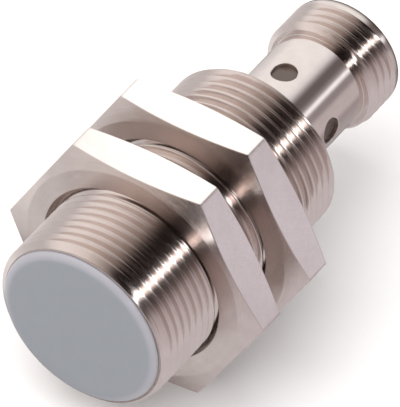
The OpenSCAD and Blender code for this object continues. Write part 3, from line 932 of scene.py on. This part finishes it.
FLOOR_GAP = 0.02 * MM                   # between the sensor's lowest point and the floor
FLOOR_REACH = 1.2                       # half the floor's width
FILL_SPREAD, FILL_TILT = math.radians(80), math.radians(25)
SOFTBOX_SIZE = (0.026, 0.020)
SOFTBOX_DISTANCE = 0.12                 # from the flat that mirrors it

# The camera's place, and its own axes.
CAMERA_PLACE = np.array((238.316, -348.347, 426.739)) * MM
CAMERA_RIGHT = np.array((0.83322, 0.55283, 0.01149))
CAMERA_DOWN = np.array((0.39254, -0.57673, -0.71645))
CAMERA_FORWARD = np.array((-0.38945, 0.60147, -0.69755))


def stand_at(x, y, z, place):
    """The matrix that puts an object at a place with these three axes of its own."""
    rows = [(*row, p) for row, p in zip(np.array([x, y, z]).T, place)]
    return Matrix(rows + [(0, 0, 0, 1)])


class SENSOR_OT_stage(bpy.types.Operator):
    """Adds the pale floor, the soft lights and the camera"""
    bl_idname = "sensor.stage"
    bl_label = "Stage"

    def execute(self, context):
        scene = context.scene
        settings = scene.sensor_stage
        self.floor(scene, settings)
        self.room(scene, settings)
        self.lights(scene, settings)
        self.camera(scene, settings)
        scene.view_settings.view_transform = "Standard"
        return {"FINISHED"}

    def floor(self, scene, settings):
        """A square sheet of pale paper under the sensor, which gloss doesn't show."""
        low, _ = cad_box
        corners = FLOOR_REACH * np.array([(-1, -1), (1, -1), (1, 1), (-1, 1)])
        mesh = bpy.data.meshes.new("studio_floor")
        mesh.from_pydata([(x, y, low[2] - FLOOR_GAP) for x, y in corners], [], [(0, 1, 2, 3)])
        colour = np.array(settings.floor)
        mesh.materials.append(finish(
            "studio_paper", (tuple(colour), tuple(colour * 0.985)), (0.85, 0.95), 0.5 * MM, 0.0,
            Specular_IOR_Level=0.0))
        floor = bpy.data.objects.new("studio_floor", mesh)
        floor.visible_glossy = False
        scene.collection.objects.link(floor)

    def room(self, scene, settings):
        """The soft room: three fans of panels, before, beside and behind the sensor, and a
        dark corner.

        With h as the sum of a direction and VIEW, the panel's angle is that of h around
        the Y axis, and h.y over the length of h goes from -1 at the front over 0 beside to
        1 behind. A cylinder that lies along Y shows the camera only what has h twice as
        long as the part of VIEW along h, and the corner is where h is much shorter."""
        world = bpy.data.worlds.new("studio_room")
        scene.world = world
        world.use_nodes = True
        tree = world.node_tree
        back = tree.nodes["Background"]
        way = add_node(tree, "ShaderNodeTexCoord").outputs["Generated"]
        half = add_node(tree, "ShaderNodeVectorMath", {0: way, 1: VIEW},
                        operation="ADD").outputs[0]
        unit = add_node(tree, "ShaderNodeVectorMath", {0: half},
                        operation="NORMALIZE").outputs[0]
        parts = add_node(tree, "ShaderNodeSeparateXYZ", {0: unit})
        angle = add_node(tree, "ShaderNodeMath", {0: parts.outputs[2], 1: parts.outputs[0]},
                         operation="ARCTAN2").outputs[0]
        share = add_node(tree, "ShaderNodeMapRange", {
            "Value": angle, "From Min": -math.pi, "From Max": math.pi}).outputs[0]
        front = add_node(tree, "ShaderNodeMapRange", {
            "Value": parts.outputs[1], "From Min": -0.05, "From Max": -0.14},
            interpolation_type="SMOOTHSTEP").outputs[0]
        length = add_node(tree, "ShaderNodeVectorMath", {0: half}, operation="LENGTH")
        long_enough = add_node(tree, "ShaderNodeMapRange", {
            "Value": length.outputs["Value"], "From Min": 0.45, "From Max": 0.8, "To Max": 0.8},
            interpolation_type="SMOOTHSTEP").outputs[0]
        behind = add_node(tree, "ShaderNodeMapRange", {
            "Value": parts.outputs[1], "From Min": 0.12, "From Max": 0.5,
            "To Max": long_enough}, interpolation_type="SMOOTHSTEP").outputs[0]
        fans = [self.fan(tree, share, rows) for rows in (SIDE_FAN, FRONT_FAN)]
        room = blend_colours(tree, front, *fans)
        room = blend_colours(tree, behind, room, self.fan(tree, share, BACK_FAN))
        along = add_node(tree, "ShaderNodeVectorMath", {0: unit, 1: (VIEW[0], 0, VIEW[2])},
                         operation="DOT_PRODUCT")
        usual = add_node(tree, "ShaderNodeMath", {0: along.outputs["Value"], 1: 0.04},
                         operation="MAXIMUM")
        share = add_node(tree, "ShaderNodeMath", {
            0: length.outputs["Value"], 1: usual.outputs[0]}, operation="DIVIDE")
        open_room = add_node(tree, "ShaderNodeMapRange", {
            "Value": share.outputs[0], "From Min": 0.8, "From Max": 1.9},
            interpolation_type="SMOOTHSTEP").outputs[0]
        tree.links.new(blend_colours(tree, open_room, DARK_CORNER, room), back.inputs["Color"])
        back.inputs["Strength"].default_value = settings.sky

    def fan(self, tree, share, rows):
        """A fan's colour at a share of the turn that starts at -180 degrees."""
        ramp = add_node(tree, "ShaderNodeValToRGB", {0: share})
        stops = ramp.color_ramp.elements
        stops.remove(stops[-1])
        for i, (degrees, colour) in enumerate((*rows, (180, rows[0][1]))):
            stop = stops[0] if i == 0 else stops.new((degrees + 180) / 360)
            stop.color = (*colour, 1.0)
        return ramp.outputs[0]

    def lights(self, scene, settings):
        """A small softbox for the top flats, one for the flats beside them, and a soft fill
        from above that gloss doesn't show."""
        self.softbox(scene, "top_softbox", (0, 16.0, 12), (-0.389, 0.6015, 0.6975),
                     settings.key, (0.94, 0.985, 1.0))
        self.softbox(scene, "side_softbox", (10.4, 14.4, 6), (0.7985, 0.6015, -0.0115),
                     settings.side, (0.74, 0.80, 1.0))
        lamp = bpy.data.lights.new("overhead_fill", "SUN")
        lamp.energy = settings.fill
        lamp.angle = FILL_SPREAD
        made = bpy.data.objects.new("overhead_fill", lamp)
        made.rotation_euler = (FILL_TILT, 0, 0)
        made.visible_glossy = False
        scene.collection.objects.link(made)

    def softbox(self, scene, name, mirrored_at, way, power, colour):
        """A softbox that stands where a flat at mirrored_at (mm) mirrors it to the camera."""
        lamp = bpy.data.lights.new(name, "AREA")
        lamp.shape = "RECTANGLE"
        lamp.size, lamp.size_y = SOFTBOX_SIZE
        lamp.energy = power
        lamp.color = colour
        made = bpy.data.objects.new(name, lamp)
        back = np.array(way) / np.linalg.norm(way)
        place = np.array(mirrored_at) * MM + SOFTBOX_DISTANCE * back
        side = np.cross((0, 1, 0), back)
        side /= np.linalg.norm(side)
        made.matrix_world = stand_at(side, np.cross(back, side), back, place)
        made.visible_camera = False
        scene.collection.objects.link(made)

    def camera(self, scene, settings):
        """The camera stands in front, to the right and above, and looks down the sensor."""
        data = bpy.data.cameras.new("front_camera")
        data.lens = settings.lens
        data.sensor_width = 36
        data.clip_start = 0.01
        camera = bpy.data.objects.new("front_camera", data)
        camera.matrix_world = stand_at(CAMERA_RIGHT, -CAMERA_DOWN, -CAMERA_FORWARD, CAMERA_PLACE)
        scene.collection.objects.link(camera)
        scene.camera = camera


class SENSOR_PT_panel(bpy.types.Panel):
    """Lists the sensor's sizes, finishes and pieces"""
    bl_label = "Proximity Sensor"
    bl_idname = "SENSOR_PT_panel"
    bl_space_type = "VIEW_3D"
    bl_region_type = "UI"
    bl_category = "Sensor"

    def draw(self, context):
        for group in (context.scene.sensor_sizes, context.scene.sensor_finishes,
                      context.scene.sensor_stage):
            box = self.layout.box()
            for name in group.bl_rna.properties.keys():
                if name not in ("rna_type", "name"):
                    box.prop(group, name)
        for operator in OPERATORS:
            self.layout.operator(operator.bl_idname)


OPERATORS = (
    SENSOR_OT_barrel, SENSOR_OT_cap, SENSOR_OT_nuts, SENSOR_OT_sleeve, SENSOR_OT_pins,
    SENSOR_OT_inner_parts, SENSOR_OT_stage,
)
CLASSES = (SensorSizes, SensorFinishes, SensorStage, *OPERATORS, SENSOR_PT_panel)


def register():
    """Registers the classes and puts the three groups of settings on the scene."""
    for cls in CLASSES:
        bpy.utils.register_class(cls)
    bpy.types.Scene.sensor_sizes = PointerProperty(type=SensorSizes)
    bpy.types.Scene.sensor_finishes = PointerProperty(type=SensorFinishes)
    bpy.types.Scene.sensor_stage = PointerProperty(type=SensorStage)


def unregister():
    """Undoes register."""
    del bpy.types.Scene.sensor_stage
    del bpy.types.Scene.sensor_finishes
    del bpy.types.Scene.sensor_sizes
    for cls in reversed(CLASSES):
        bpy.utils.unregister_class(cls)


def main():
    """Builds every piece and the stage."""
    register()
    bpy.ops.sensor.barrel()
    bpy.ops.sensor.cap()
    bpy.ops.sensor.nuts()
    bpy.ops.sensor.sleeve()
    bpy.ops.sensor.pins()
    bpy.ops.sensor.inner_parts()
    bpy.ops.sensor.stage()


if __name__ == "__main__":
    main()
